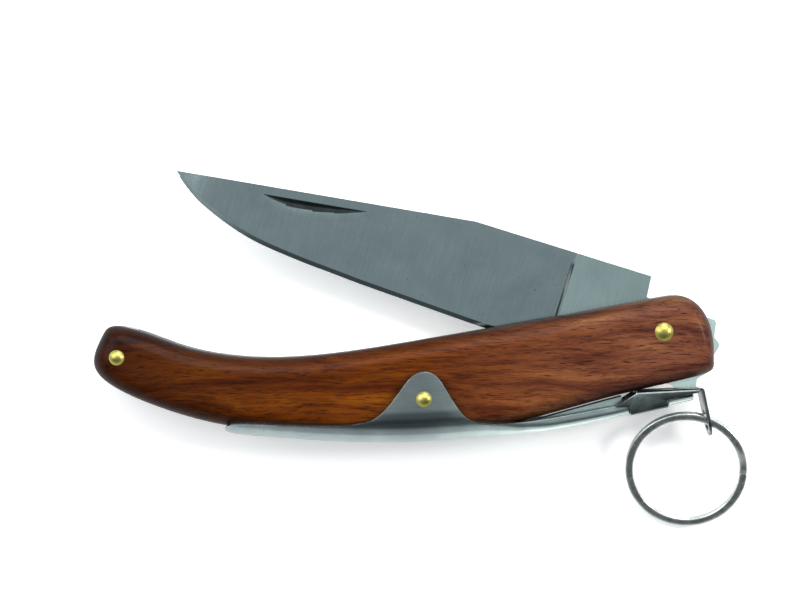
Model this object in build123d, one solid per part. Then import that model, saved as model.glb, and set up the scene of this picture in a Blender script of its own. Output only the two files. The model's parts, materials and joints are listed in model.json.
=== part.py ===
# Folding grafting knife lying on its side: pinned wood handle, ratchet blade,
# sheet back spring with a free arm, pull lever and split ring.
# Built about the blade pivot, X toward the pivot end, Y toward the blade slot,
# Z across the handle; moved at the end to the bottom centre of its own box.
import math
import os

from build123d import *

# ---------------------------------------------------------------- handle
PIN_SPAN = 110.0          # blade pivot to tail pin
HANDLE_DEPTH = 18.6       # pivot line down to the lowest point of the belly
HANDLE_THICK = 13.5       # across both scales
EDGE_ROUND = 4.0          # rounding all round the two scales
LINER_T = 0.8
SPACER_T = 3.0            # slot width between the liners
BACK_CLEAR = 0.6          # blade sweep to the back spacer

# ---------------------------------------------------------------- blade
BLADE_REACH = 103.9       # pivot to tip
BLADE_THICK = 2.4
SPINE_DROP = 10.2         # pivot line to the straight rear spine
EDGE_DROP = 10.1          # pivot line to the edge at its heel
RICASSO = 21.0            # pivot to the plunge line
REST_ANGLE = 160.0        # blade direction as modelled, half a hand open
EDGE_T = 0.55             # steel left behind the final bevel

# ---------------------------------------------------------------- ratchet
TOOTH_TIP = 13.6          # radius of the first and tallest tooth
TOOTH_PITCH = 23.0        # degrees
TOOTH_FIRST = 139.0       # degrees from the blade direction
TOOTH_DEPTH = 1.5
TOOTH_FALL = (0.0, 0.35, 1.1, 2.0)   # how far each tip sits below the first
NOTCH_R = 7.2             # hollow that the spring drops into when open

# ---------------------------------------------------------------- pins
PIVOT_R = 1.3
PIVOT_HEAD_R = 1.85
TAIL_R = 1.1
TAIL_HEAD_R = 1.55
RIVET_R = 1.25
RIVET_HEAD_R = 1.6
HEAD_H = 0.7
RIVET_FOOT = 0.25         # flat peened foot under the knife
RIVET_STATION = (-48.8, -11.2)
RUN_FIT = 0.05            # radial clearance of the blade on its pivot
WASHER_R = 5.0
PLAY = 0.05               # side play of the blade, each side

# ---------------------------------------------------------------- back spring
SHEET = 1.4
FLEX_STATION = (-34.6, -18.85)   # line the free arm bends about
FLEX_R = 0.85
FLEX_GAP = 0.3
ARM_ROOT_W = 12.5
TONGUE_W = 8.0
TONGUE_TIP = 5.7
TONGUE_T = 1.0            # at the tip
TONGUE_LOW = -14.2        # underside at the tip
TONGUE_SLOPE = 0.1715     # fall of the underside toward the root
RIB_T = 2.7               # middle rib of the arm, closing the slot from below
RIB_GAP = 0.4             # rib to the underside of the handle
RIB_LOW = [(-31.0, -18.9), (-8.6, -15.6)]   # foot of the rib, inside the arm
WINDOW_L = 4.2
WINDOW_W = 3.4

# ---------------------------------------------------------------- lever, ring
LEVER_T = 0.6
LEVER_GAP = 0.25          # sleeve to tongue
LIP_REACH = 1.6           # folded feet stop this far from the middle
LIP_GAP = 0.1             # feet to the underside of the tongue
LIP_SPAN = (-7.2, 0.4)
LIP_RELIEF = 0.5          # underside cut away over the feet
HEEL_AT = (-5.6, -11.75)  # back top corner of the sleeve
TAB_W = 6.6
TAB_TILT = 9.0            # degrees off square
TAB_LEN = 9.8
HOLE_R = 2.1
RING_OD = 25.0
RING_WIRE_W = 1.7
RING_TURN_T = 0.8         # one of two turns of flat wire
RING_EDGE = 0.2           # broken edges of the wire
RING_HEADING = -112.5     # direction from the tab hole to the ring centre

# ---------------------------------------------------------------- derived
HALF_T = HANDLE_THICK / 2
HALF_SLOT = SPACER_T / 2
FLOOR_Z = -(HALF_T + SHEET + RIVET_FOOT)
TAIL_AT = (-PIN_SPAN, 0.0)
RING_CR = (RING_OD - RING_WIRE_W) / 2

# stations of the handle outline, clockwise seen from the front, as drawn for
# this span and depth
DRAWN_SPAN = 110.0
DRAWN_DEPTH = 18.6
RUN_POINTS = 21           # points that carry one stretch outward
SLOT_SIDE = [(-108.0, 5.95), (-97.6, 1.9), (-89.0, -0.4), (-77.5, -1.55),
             (-61.2, -0.8), (-44.9, 1.1), (-22.0, 4.0), (2.0, 7.25)]
BUTT = [(2.0, 7.25), (6.6, 6.0), (10.3, -1.9), (10.3, -6.6), (6.0, -9.5)]
BACK_SIDE = [(6.0, -9.5), (-8.0, -12.1), (-22.5, -15.3), (-36.0, -17.9), (-50.0, -18.6),
             (-64.0, -18.0), (-78.3, -16.5), (-91.0, -14.3), (-102.3, -10.5),
             (-110.6, -6.4)]
KNOB = [(-110.6, -6.4), (-115.2, -0.6), (-113.2, 4.6), (-108.0, 5.95)]
SLOT_DIRS = [(1, -0.28), (1, 0.12)]
BACK_DIRS = [(-1, -0.2), (-1, 0.62)]


def station(x, y):
    """Outline point stretched with the pin span and the handle depth."""
    sx = PIN_SPAN / DRAWN_SPAN if x < 0 else 1.0
    sy = HANDLE_DEPTH / DRAWN_DEPTH if y < 0 else 1.0
    return (x * sx, y * sy)


def lean(dx, dy):
    """Direction of the outline at the tail, stretched as its stations are."""
    return (dx * PIN_SPAN / DRAWN_SPAN, dy)


def below(x, y):
    """Point of the arm or lever, which hang lower under a deeper handle."""
    return (x, y * HANDLE_DEPTH / DRAWN_DEPTH)


RIVET_AT = station(*RIVET_STATION)
FLEX_AT = station(*FLEX_STATION)
HEEL = below(*HEEL_AT)
TAB_TOP = (7.75, HEEL[1] - LEVER_T / 2)
TAB_DIR = (math.sin(math.radians(TAB_TILT)), -math.cos(math.radians(TAB_TILT)))
HOLE_DROP = TAB_LEN - TAB_W / 2
HOLE_AT = (TAB_TOP[0] + HOLE_DROP * TAB_DIR[0], TAB_TOP[1] + HOLE_DROP * TAB_DIR[1])


def polar(r, deg):
    return (r * math.cos(math.radians(deg)), r * math.sin(math.radians(deg)))


def slab(face, z0, z1):
    return extrude(Pos(0, 0, z0) * face, amount=z1 - z0)


def run(points, start, end, grow):
    """One smooth stretch of the outline, moved outward square to itself by grow."""
    line = Spline(*[station(*p) for p in points], tangents=[start, end])
    if not grow:
        return line
    moved = []
    for i in range(RUN_POINTS):
        p = line.position_at(i / (RUN_POINTS - 1))
        t = line.tangent_at(i / (RUN_POINTS - 1))
        moved.append((p.X - t.Y * grow, p.Y + t.X * grow))
    return Spline(*moved, tangents=[start, end])


def handle_face(grow=0.0):
    slot_in, slot_out = lean(*SLOT_DIRS[0]), SLOT_DIRS[1]
    back_in, back_out = BACK_DIRS[0], lean(*BACK_DIRS[1])
    edges = [run(SLOT_SIDE, slot_in, slot_out, grow), run(BUTT, slot_out, back_in, grow),
             run(BACK_SIDE, back_in, back_out, grow), run(KNOB, back_out, slot_in, grow)]
    return make_face(edges)


def handle_block(grow=0.0):
    top = HALF_T + grow
    block = slab(handle_face(grow), -top, top)
    rims = block.edges().filter_by(lambda e: abs(abs(e.center().Z) - top) < 0.01)
    return fillet(rims, EDGE_ROUND + grow)


def bore(at, r):
    return Pos(at[0], at[1], 0) * Cylinder(r, 60)


def pin_bores():
    return [bore((0, 0), PIVOT_R), bore(TAIL_AT, TAIL_R), bore(RIVET_AT, RIVET_R)]


def drilled(solid):
    for hole in pin_bores():
        solid -= hole
    return solid


def scale(block, side):
    z0 = HALF_SLOT + LINER_T
    box = Pos(-50, 0, side * (z0 + 10)) * Box(200, 80, 20)
    return drilled(block & box)


def liner(side):
    z0 = side * HALF_SLOT
    return drilled(slab(handle_face(), z0, z0 + side * LINER_T))


def back_spacer():
    inner = [(-12.0, -10.6), (-25.0, -12.5), (-45.0, -14.6), (-62.0, -14.5),
             (-80.0, -12.0), (-96.0, -8.2), (-106.4, -2.6)]
    pts = [station(*p) for p in inner]
    top = 20.0
    edge = Spline(*pts)
    rest = Polyline(pts[-1], (pts[-1][0], top), (15, top), (15, pts[0][1]), pts[0])
    hollow = make_face([edge, rest])
    body = slab(handle_face() - hollow, -HALF_SLOT, HALF_SLOT)
    body -= Cylinder(TOOTH_TIP + BACK_CLEAR, 10)
    return body - bore(TAIL_AT, TAIL_R)


def dome(r, h):
    big = (r * r + h * h) / (2 * h)
    cap = Pos(0, 0, h - big) * Sphere(big)
    return cap & (Pos(0, 0, h) * Cylinder(r, 2 * h))


def pin(at, r, head_r, z0):
    body = Cylinder(r, 2 * z0)
    body += Pos(0, 0, z0) * dome(head_r, HEAD_H)
    body += Pos(0, 0, -z0) * Rot(180, 0, 0) * dome(head_r, HEAD_H)
    return Pos(at[0], at[1], 0) * body


def saddle_rivet():
    z0 = HALF_T + SHEET
    body = Cylinder(RIVET_R, 2 * z0)
    body += Pos(0, 0, z0) * dome(RIVET_HEAD_R, HEAD_H)
    body += Pos(0, 0, -z0 - RIVET_FOOT / 2) * Cylinder(RIVET_HEAD_R, RIVET_FOOT)
    return Pos(RIVET_AT[0], RIVET_AT[1], 0) * body


def washer(side):
    t = HALF_SLOT - BLADE_THICK / 2 - PLAY
    ring = Cylinder(WASHER_R, t) - Cylinder(PIVOT_R, 2 * t)
    return Pos(0, 0, side * (HALF_SLOT - t / 2)) * ring


# ---------------------------------------------------------------- blade
def tang_points():
    """Teeth and hollows about the pivot, from the heel side to the shoulder."""
    pts = [(-4.6, EDGE_DROP - 0.4), polar(12.0, 124)]
    for i, fall in enumerate(TOOTH_FALL):
        a = TOOTH_FIRST + i * TOOTH_PITCH
        tip = TOOTH_TIP - fall
        pts += [polar(tip, a), polar(tip - TOOTH_DEPTH, a + 6)]
    pts += [polar(NOTCH_R, 222)]
    return pts


def blade_outline():
    s = BLADE_REACH / 103.9
    tip = (BLADE_REACH, -2.0)
    edge = Spline(tip, (97.4 * s, 2.8), (87.7 * s, 6.3), (74.3 * s, 8.2),
                  (61.3 * s, 8.95), tangents=[(-1, 0.82), (-1, 0.05)])
    tang = tang_points()
    heel = Polyline((61.3 * s, 8.95), (RICASSO, EDGE_DROP), *tang)
    ledge = (3.4, -5.7)
    hollow = ThreePointArc(tang[-1], polar(NOTCH_R, 262), ledge)
    back = Polyline(ledge, (4.75, -5.9), (5.1, -SPINE_DROP), (42.5 * s, -SPINE_DROP), tip)
    return make_face([edge, heel, hollow, back])


def grind(side):
    """Wedge taken off one face ahead of the plunge line, thin at the edge."""
    top = BLADE_THICK / 2
    wedge = Polyline((-9.2, top), (14, top), (14, EDGE_T / 2 - 0.18), (-9.2, top), close=False)
    face = make_face(Plane.YZ * wedge)
    cut = extrude(face, amount=BLADE_REACH)
    cut = Pos(RICASSO, 0, 0) * cut
    return cut if side > 0 else mirror(cut, Plane.XY)


def nail_nick():
    """Long crescent near the spine: steep wall above, sloped face below."""
    wheel = 86.0
    deep = 0.66
    wide = 2.4
    cone = Cone(wheel, wheel - 1.1, 1.1 * wide / deep)
    cone = Pos(0, 0, 0.55 * wide / deep) * cone
    cone = Rot(-90, 0, 0) * cone
    s = BLADE_REACH / 103.9
    lift = BLADE_THICK / 2 - 0.14 - deep + wheel
    return Pos(75 * s, -4.0, lift) * Rot(0, 0, 7.7) * cone


def blade():
    body = slab(blade_outline(), -BLADE_THICK / 2, BLADE_THICK / 2)
    for side in (1, -1):
        body -= grind(side)
    body -= nail_nick()
    body -= Cylinder(PIVOT_R + RUN_FIT, 10)
    return Rot(0, 0, REST_ANGLE) * body


# ---------------------------------------------------------------- back spring
def saddle_window():
    """Side view kept of the sheet: tail flange, riveted ear, short front flange."""
    ear = [(-66.0, -15.8), (-59.2, -14.8), (-54.6, -10.9), (-48.6, -5.7),
           (-43.6, -10.9), (-40.6, -15.3), (-36.0, -16.5)]
    pts = [station(*p) for p in ear]
    tail = station(-88.4, -14.6)
    low = -HANDLE_DEPTH - 8
    edge = Spline(*pts, tangents=[(1, 0.02), (1, -0.15)])
    rest = Polyline(pts[-1], (FLEX_AT[0], pts[-1][1]), (FLEX_AT[0], low),
                    (tail[0] - 1.0, low), (tail[0] - 1.0, tail[1] - 0.8), tail, pts[0])
    return slab(make_face([edge, rest]), -20, 20)


def back_spring(block):
    shell = handle_block(SHEET) - block
    body = shell & saddle_window()
    body -= bore(FLEX_AT, FLEX_R + FLEX_GAP)
    body -= bore(RIVET_AT, RIVET_R)
    keep = [s for s in body.solids() if s.volume > 50]
    return keep[0]


def underside(x, lift=0.0):
    """Straight underside of the tongue at x, or that line raised by lift."""
    return below(x, TONGUE_LOW - TONGUE_SLOPE * (TONGUE_TIP - x) + lift)


def arm_side():
    root_top = (FLEX_AT[0], FLEX_AT[1] + FLEX_R)
    root_low = (FLEX_AT[0], FLEX_AT[1] - FLEX_R)
    tip_low = underside(TONGUE_TIP)
    tip_top = (tip_low[0], tip_low[1] + TONGUE_T)
    bend = underside(-8.0)
    top = Spline(root_top, station(-21.0, -16.3), station(-11.0, -14.95),
                 station(-2.0, -14.35), tip_top)
    nose = Line(tip_top, tip_low)
    flat = Line(tip_low, bend)
    low = Spline(bend, station(-13.0, -17.45), station(-22.0, -18.6), root_low)
    back = ThreePointArc(root_low, (FLEX_AT[0] - FLEX_R, FLEX_AT[1]), root_top)
    return make_face([top, nose, flat, low, back])


def arm_plan():
    w0 = ARM_ROOT_W / 2
    w1 = TONGUE_W / 2
    x0 = FLEX_AT[0] - FLEX_R - 1
    pts = [(x0, w0), (FLEX_AT[0] + 4, w0), (-12, w1), (TONGUE_TIP + 1, w1),
           (TONGUE_TIP + 1, -w1), (-12, -w1), (FLEX_AT[0] + 4, -w0), (x0, -w0)]
    face = make_face(Plane.XZ * Polyline(*pts, close=True))
    return extrude(face, amount=30, both=True)


def arm_rib():
    """Follows the underside of the handle at RIB_GAP."""
    root, toe = [station(*p) for p in RIB_LOW]
    high = -5.0
    face = make_face(Polyline(root, toe, (toe[0], high), (root[0], high), close=True))
    return slab(face - Pos(0, -RIB_GAP, 0) * handle_face(), -RIB_T / 2, RIB_T / 2)


def spring_arm():
    body = slab(arm_side(), -10, 10) & arm_plan()
    body += arm_rib()
    mid = TONGUE_TIP - 1.5 - WINDOW_L / 2
    centre = underside(mid, TONGUE_T / 2)
    body -= Pos(*centre) * Rot(0, 0, 8.5) * Box(WINDOW_L, 6, WINDOW_W)
    x0, x1 = LIP_SPAN[0] - 0.25, LIP_SPAN[1] + 0.25
    cut = Polyline(underside(x0, LIP_RELIEF), underside(x1, LIP_RELIEF),
                   underside(x1, -1), underside(x0, -1), close=True)
    return body - slab(make_face(cut), -10, 10)


# ---------------------------------------------------------------- lever
def lip_line(down):
    """Both ends of a line on the feet, down from their upper face."""
    return [underside(x, LIP_RELIEF - LIP_GAP - down) for x in LIP_SPAN]


def flap_face():
    knee = TAB_TOP[0] - 0.9
    heel_low, toe_low = lip_line(LEVER_T)
    pts = [HEEL, (knee, HEEL[1]), (knee, HEEL[1] - 0.85), below(4.3, -13.0),
           below(0.4, -13.8), toe_low, heel_low, below(-7.5, -14.9), below(-10.4, -14.8)]
    return make_face(Polyline(*pts, close=True))


def lever_lips(outer):
    """Feet folded inward below the tongue."""
    heel_top, toe_top = lip_line(0)
    heel_low, toe_low = lip_line(LEVER_T)
    foot = make_face(Polyline(toe_top, toe_low, heel_low, heel_top, close=True))
    return slab(foot, LIP_REACH, outer) + slab(foot, -outer, -LIP_REACH)


def pull_lever():
    inner = TONGUE_W / 2 + LEVER_GAP
    outer = inner + LEVER_T
    x0, y0 = HEEL
    flap = flap_face()
    body = slab(flap, inner, outer) + slab(flap, -outer, -inner)
    web = Pos((x0 + TAB_TOP[0]) / 2, y0 - LEVER_T / 2, 0)
    body += web * Box(TAB_TOP[0] - x0, LEVER_T, 2 * outer)
    body += lever_lips(outer)
    body += tab()
    slot_end = TAB_TOP[0] - 0.5
    slot = Pos((x0 - 2 + slot_end) / 2, y0, 0) * Box(slot_end - x0 + 2, 6, WINDOW_W)
    keep_tab = Pos(slot_end + 10, y0, 0) * Box(20, 60, 20)
    return body - (slot - keep_tab)


def tab():
    """Round-ended hanging tab with the ring hole, joined to the web by its knee."""
    drop = HOLE_DROP
    plate = Pos(0, -drop / 2, 0) * Box(LEVER_T, drop, TAB_W)
    plate += Pos(0, -drop, 0) * Rot(0, 90, 0) * Cylinder(TAB_W / 2, LEVER_T)
    plate -= Pos(0, -drop, 0) * Rot(0, 90, 0) * Cylinder(HOLE_R, 5)
    knee = Cylinder(LEVER_T / 2, TAB_W)
    return Pos(TAB_TOP[0], TAB_TOP[1], 0) * (Rot(0, 0, TAB_TILT) * plate + knee)


# ---------------------------------------------------------------- ring
def droop():
    """Swing that lets the far rim of the ring come down to the floor."""
    a = RING_CR + RING_OD / 2
    b = RING_TURN_T
    return math.degrees(math.asin(-FLOOR_Z / math.hypot(a, b)) - math.atan2(b, a))


def split_ring():
    r_out = RING_OD / 2
    r_in = r_out - RING_WIRE_W
    turn = Cylinder(r_out, RING_TURN_T) - Cylinder(r_in, 2 * RING_TURN_T)
    turn = chamfer(turn.edges().group_by(Axis.Z)[-1], RING_EDGE)
    gap = Pos(RING_CR, 0, 0) * Box(2 * RING_WIRE_W, 0.5, 2 * RING_TURN_T)
    upper = turn - Rot(0, 0, 70) * gap
    lower = Rot(180, 0, 0) * turn - Rot(0, 0, 40) * gap
    ring = Pos(0, 0, RING_TURN_T / 2) * upper + Pos(0, 0, -RING_TURN_T / 2) * lower
    hang = Pos(HOLE_AT[0], HOLE_AT[1], 0) * Rot(0, 0, RING_HEADING) * Rot(0, droop(), 0)
    return hang * Pos(RING_CR, 0, 0) * ring


def build_all():
    block = handle_block()
    parts = {
        "front_scale": scale(block, 1),
        "rear_scale": scale(block, -1),
        "front_liner": liner(1),
        "rear_liner": liner(-1),
        "back_spacer": back_spacer(),
        "front_washer": washer(1),
        "rear_washer": washer(-1),
        "pivot_pin": pin((0, 0), PIVOT_R, PIVOT_HEAD_R, HALF_T),
        "tail_pin": pin(TAIL_AT, TAIL_R, TAIL_HEAD_R, HALF_T),
        "saddle_rivet": saddle_rivet(),
        "back_spring": back_spring(block),
        "blade": blade(),
        "spring_arm": spring_arm(),
        "pull_lever": pull_lever(),
        "split_ring": split_ring(),
    }
    box = Compound(children=[p.solids()[0] for p in parts.values()]).bounding_box()
    mid = (box.min + box.max) / 2
    shift = Pos(-mid.X, -mid.Y, -box.min.Z)
    return {name: shift * p for name, p in parts.items()}, (-mid.X, -mid.Y, -box.min.Z)


def main():
    os.makedirs("parts", exist_ok=True)
    parts, shift = build_all()
    print("moved by", [round(v, 4) for v in shift])
    for name, solid in parts.items():
        export_step(solid, "parts/" + name + ".step")
        print(name, len(solid.solids()), round(solid.volume, 2))


main()
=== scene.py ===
import json
import math

import bmesh
import bpy
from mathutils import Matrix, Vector


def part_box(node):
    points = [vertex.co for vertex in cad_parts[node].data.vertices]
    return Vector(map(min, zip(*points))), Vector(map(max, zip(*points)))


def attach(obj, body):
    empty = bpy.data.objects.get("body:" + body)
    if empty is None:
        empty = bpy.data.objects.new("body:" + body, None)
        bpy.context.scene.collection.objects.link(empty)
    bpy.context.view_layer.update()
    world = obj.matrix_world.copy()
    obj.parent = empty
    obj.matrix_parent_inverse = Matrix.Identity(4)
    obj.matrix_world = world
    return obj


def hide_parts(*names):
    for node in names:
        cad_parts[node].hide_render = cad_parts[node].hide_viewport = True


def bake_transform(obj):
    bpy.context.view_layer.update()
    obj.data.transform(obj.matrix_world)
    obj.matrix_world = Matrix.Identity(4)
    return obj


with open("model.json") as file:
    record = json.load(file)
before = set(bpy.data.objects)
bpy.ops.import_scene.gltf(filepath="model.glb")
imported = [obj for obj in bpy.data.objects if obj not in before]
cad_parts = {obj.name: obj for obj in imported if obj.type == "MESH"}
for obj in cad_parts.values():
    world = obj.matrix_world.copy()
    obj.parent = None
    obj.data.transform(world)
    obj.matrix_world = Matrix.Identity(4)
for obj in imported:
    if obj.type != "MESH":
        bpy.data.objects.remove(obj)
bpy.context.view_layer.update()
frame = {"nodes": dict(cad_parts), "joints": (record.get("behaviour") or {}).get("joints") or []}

# Sizes of the pieces are in millimetres about the blade pivot, and spot() turns them
# into metres in the shared frame. Materials, lights and the camera are in metres.
MM = 0.001
JOINTS = {j["name"]: j for j in frame["joints"]}
PIVOT = Vector(JOINTS["blade_pivot"]["pos_m"])
EYE = Vector(JOINTS["ring_swing"]["pos_m"])
RING_AXIS = Vector(JOINTS["ring_swing"]["axis"]).normalized()
BLADE_ANGLE = math.radians(160.0)


def spot(x, y, z):
    return PIVOT + Vector((x, y, z)) * MM


def eased(t):
    t = min(1.0, max(0.0, t))
    return t * t * (3 - 2 * t)


def through(stations, x):
    """Height at x on a smooth line drawn through the stations."""
    n = len(stations)
    if x <= stations[0][0]:
        return stations[0][1]
    if x >= stations[-1][0]:
        return stations[-1][1]
    i = max(k for k in range(n - 1) if stations[k][0] <= x)
    (x0, y0), (x1, y1) = stations[i], stations[i + 1]
    before = stations[max(i - 1, 0)]
    after = stations[min(i + 2, n - 1)]
    s0 = (y1 - before[1]) / (x1 - before[0])
    s1 = (after[1] - y0) / (after[0] - x0)
    h = x1 - x0
    t = (x - x0) / h
    a = (1 + 2 * t) * (1 - t) ** 2 * y0 + t * (1 - t) ** 2 * h * s0
    return a + t * t * (3 - 2 * t) * y1 + t * t * (t - 1) * h * s1


CORNER_STEPS = 5


def rounded(points, radius):
    """Open run of points with each inner corner turned by a small curve."""
    out = [points[0]]
    for a, b, c in zip(points, points[1:], points[2:]):
        a, b, c = Vector(a), Vector(b), Vector(c)
        r = min(radius, (a - b).length * 0.45, (c - b).length * 0.45)
        p = b + (a - b).normalized() * r
        q = b + (c - b).normalized() * r
        for k in range(CORNER_STEPS + 1):
            t = k / CORNER_STEPS
            out.append(tuple(p * (1 - t) ** 2 + b * 2 * t * (1 - t) + q * t * t))
    return out + [points[-1]]


def shade(mesh, angle=35.0):
    """Smooth faces, with a hard line wherever two faces turn by more than angle."""
    bm = bmesh.new()
    bm.from_mesh(mesh)
    limit = math.radians(angle)
    for f in bm.faces:
        f.smooth = True
    for e in bm.edges:
        e.smooth = len(e.link_faces) == 2 and e.calc_face_angle(0.0) < limit
    bm.to_mesh(mesh)
    bm.free()


def settle(obj, angle=35.0):
    """Works the modifiers into the mesh, then shades it."""
    bpy.context.view_layer.update()
    graph = bpy.context.evaluated_depsgraph_get()
    mesh = bpy.data.meshes.new_from_object(obj.evaluated_get(graph))
    obj.modifiers.clear()
    obj.data = mesh
    shade(mesh, angle)
    return obj


def broken_edges(obj, name, width, segments, degrees):
    """Breaks every edge sharper than the angle, by a small round of the given width."""
    b = obj.modifiers.new(name, "BEVEL")
    b.width = width
    b.segments = segments
    b.limit_method = "ANGLE"
    b.angle_limit = math.radians(degrees)


def piece(name, bm, material, weld=0.00001, offset=None):
    """Welds a mesh, turns it outward and links it as a new object."""
    if weld:
        bmesh.ops.remove_doubles(bm, verts=bm.verts, dist=weld)
    bmesh.ops.recalc_face_normals(bm, faces=bm.faces)
    mesh = bpy.data.meshes.new(name)
    bm.to_mesh(mesh)
    bm.free()
    obj = bpy.data.objects.new(name, mesh)
    bpy.context.scene.collection.objects.link(obj)
    mesh.materials.append(material)
    if offset is not None:
        obj.location = offset
    return obj


def grid(bm, columns, close_rows=False, skip=None):
    """Faces between columns of points, all of one length."""
    made = [[bm.verts.new(p) for p in column] for column in columns]
    for i in range(len(made) - 1):
        n = len(made[i])
        for j in range(n if close_rows else n - 1):
            if skip and skip(i, j):
                continue
            k = (j + 1) % n
            corners = [made[i][j], made[i + 1][j], made[i + 1][k], made[i][k]]
            bm.faces.new(corners)
    return made


# ---------------------------------------------------------------- node groups
def group(name, inputs, outputs):
    tree = bpy.data.node_groups.new(name, "ShaderNodeTree")
    for label, kind, value in inputs:
        s = tree.interface.new_socket(label, in_out="INPUT", socket_type=kind)
        if value is not None:
            s.default_value = value
    for label, kind in outputs:
        tree.interface.new_socket(label, in_out="OUTPUT", socket_type=kind)
    into = tree.nodes.new("NodeGroupInput")
    out = tree.nodes.new("NodeGroupOutput")
    return tree, into, out


def node(tree, kind, links=None):
    """One node, with its inputs joined to the sources in links."""
    n = tree.nodes.new(kind)
    for key, source in (links or {}).items():
        tree.links.new(source, n.inputs[key])
    return n


def scaled(tree, vector, count):
    n = tree.nodes.new("ShaderNodeVectorMath")
    n.operation = "SCALE"
    tree.links.new(vector, n.inputs[0])
    tree.links.new(count, n.inputs["Scale"])
    return n.outputs[0]


def math_node(tree, operation, a, b=None, clamp=False):
    n = tree.nodes.new("ShaderNodeMath")
    n.operation = operation
    n.use_clamp = clamp
    for i, v in enumerate((a, b)):
        if v is None:
            continue
        if isinstance(v, (int, float)):
            n.inputs[i].default_value = v
        else:
            tree.links.new(v, n.inputs[i])
    return n.outputs[0]


def ramp(tree, source, stops):
    n = tree.nodes.new("ShaderNodeValToRGB")
    n.color_ramp.interpolation = "LINEAR"
    while len(n.color_ramp.elements) < len(stops):
        n.color_ramp.elements.new(0.5)
    for e, (at, colour) in zip(n.color_ramp.elements, stops):
        e.position = at
        e.color = colour if len(colour) == 4 else (*colour, 1)
    tree.links.new(source, n.inputs[0])
    return n.outputs[0]


def grey(v):
    return (v, v, v, 1)


def mixed(tree, factor, a, b, how="MIX"):
    n = tree.nodes.new("ShaderNodeMix")
    n.data_type = "RGBA"
    n.blend_type = how
    if isinstance(factor, (int, float)):
        n.inputs[0].default_value = factor
    else:
        tree.links.new(factor, n.inputs[0])
    for i, v in ((6, a), (7, b)):
        if isinstance(v, tuple):
            n.inputs[i].default_value = v if len(v) == 4 else (*v, 1)
        else:
            tree.links.new(v, n.inputs[i])
    return n.outputs[2]


def between(tree, value, low, high):
    """0 at low and 1 at high, straight between them; low may be the larger."""
    n = node(tree, "ShaderNodeMapRange", {"Value": value})
    n.inputs["From Min"].default_value = low
    n.inputs["From Max"].default_value = high
    return n.outputs[0]


def noise_at(tree, coords, turn, stretch, detail=4.0, rough=0.55, distort=0.0):
    """Noise value on object coordinates turned and stretched by per-metre counts."""
    m = node(tree, "ShaderNodeMapping", {"Vector": coords})
    m.inputs["Rotation"].default_value = turn
    again = node(tree, "ShaderNodeMapping", {"Vector": m.outputs[0]})
    again.inputs["Scale"].default_value = stretch
    n = node(tree, "ShaderNodeTexNoise", {"Vector": again.outputs[0]})
    n.inputs["Scale"].default_value = 1.0
    n.inputs["Detail"].default_value = detail
    n.inputs["Roughness"].default_value = rough
    n.inputs["Distortion"].default_value = distort
    return n.outputs["Fac"]


def steel_finish_group():
    """Grinding lines, a slow mottle, stray scratches and specks, for bare metal."""
    tree, into, out = group(
        "steel_finish",
        [("Direction", "NodeSocketFloat", 0.0), ("Line Count", "NodeSocketFloat", 1.0),
         ("Mottle Count", "NodeSocketFloat", 1.0)],
        [("Lines", "NodeSocketFloat"), ("Mottle", "NodeSocketFloat"),
         ("Scratches", "NodeSocketFloat"), ("Specks", "NodeSocketFloat")])
    coords = node(tree, "ShaderNodeTexCoord").outputs["Object"]
    turn = node(tree, "ShaderNodeVectorRotate", {"Vector": coords, "Angle": into.outputs["Direction"]})
    turn.rotation_type = "Z_AXIS"
    turned = turn.outputs[0]
    dense = scaled(tree, turned, into.outputs["Line Count"])
    lines = noise_at(tree, dense, (0, 0, 0), (5200, 130, 900), 3.0, 0.6)
    tree.links.new(lines, out.inputs["Lines"])
    slow = scaled(tree, coords, into.outputs["Mottle Count"])
    mottle = noise_at(tree, slow, (0, 0, 0), (170, 210, 190), 5.0, 0.62, 0.4)
    tree.links.new(mottle, out.inputs["Mottle"])
    a = noise_at(tree, coords, (0, 0, 0.35), (190, 5200, 190), 2.0, 0.5)
    b = noise_at(tree, coords, (0, 0, -0.6), (150, 4600, 150), 2.0, 0.5)
    cut = math_node(tree, "MAXIMUM", a, b)
    cut = math_node(tree, "SUBTRACT", cut, 0.70)
    cut = math_node(tree, "MULTIPLY", cut, 9.0, clamp=True)
    tree.links.new(cut, out.inputs["Scratches"])
    dots = noise_at(tree, coords, (0, 0, 0), (1500, 1500, 1500), 2.0, 0.5)
    dots = math_node(tree, "SUBTRACT", dots, 0.70)
    dots = math_node(tree, "MULTIPLY", dots, 10.0, clamp=True)
    tree.links.new(dots, out.inputs["Specks"])
    return tree


def edge_wear_group():
    """Mask along rims, broken up so that it never runs as an even line."""
    tree, into, out = group(
        "edge_wear",
        [("Width", "NodeSocketFloat", 0.0004), ("Amount", "NodeSocketFloat", 1.0)],
        [("Rim", "NodeSocketFloat")])
    bevel = node(tree, "ShaderNodeBevel", {"Radius": into.outputs["Width"]})
    bevel.samples = 4
    shape = node(tree, "ShaderNodeNewGeometry")
    dot = node(tree, "ShaderNodeVectorMath", {0: bevel.outputs[0], 1: shape.outputs["Normal"]})
    dot.operation = "DOT_PRODUCT"
    rim = math_node(tree, "SUBTRACT", 1.0, dot.outputs["Value"])
    rim = math_node(tree, "MULTIPLY", rim, 9.0, clamp=True)
    coords = node(tree, "ShaderNodeTexCoord").outputs["Object"]
    patch = noise_at(tree, coords, (0, 0, 0), (420, 420, 420), 4.0, 0.6)
    patch = math_node(tree, "MULTIPLY", math_node(tree, "SUBTRACT", patch, 0.38), 4.0, clamp=True)
    rim = math_node(tree, "MULTIPLY", rim, patch)
    rim = math_node(tree, "MULTIPLY", rim, into.outputs["Amount"], clamp=True)
    tree.links.new(rim, out.inputs["Rim"])
    return tree


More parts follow.
